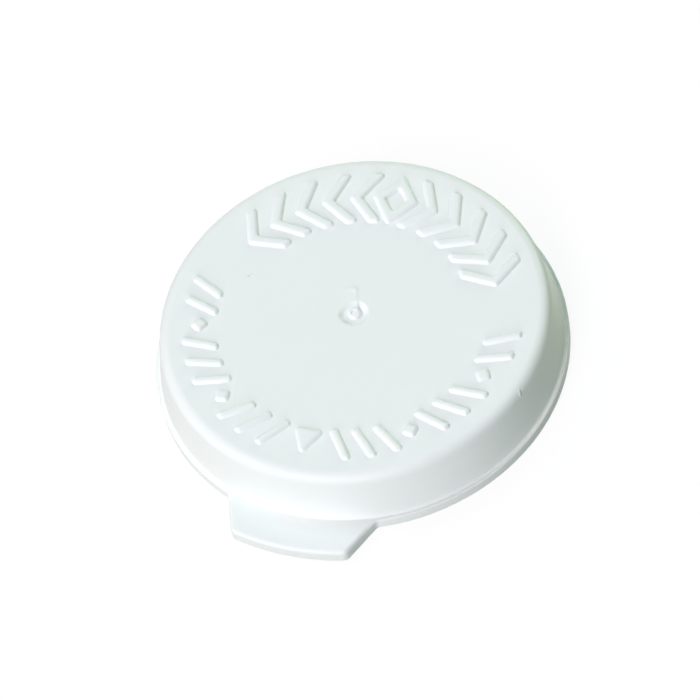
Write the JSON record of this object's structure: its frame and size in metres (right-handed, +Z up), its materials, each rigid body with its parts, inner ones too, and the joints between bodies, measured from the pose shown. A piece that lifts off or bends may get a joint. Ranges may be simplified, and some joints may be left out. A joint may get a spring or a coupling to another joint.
{
  "type": "snap cap",
  "caption": "White moulded snap cap for a pill vial: flat top with raised marks, tapered skirt, rim with a thumb tab, snap bead and plug ring inside.",
  "frame": {"origin": "on the cap's axis, at mid height of the snap bead's crest, 1.3 mm above the rim's underside", "axes": "+Z up through the flat top, -Y towards the thumb tab, +X to the right of the tab seen from above with the tab nearest"},
  "size_m": [0.038, 0.0412, 0.0065],
  "materials": {
    "white_polyethylene": "satin, as moulded"
  },
  "bodies": {
    "root": {"snap_cap": "white_polyethylene"}
  },
  "joints": []
}
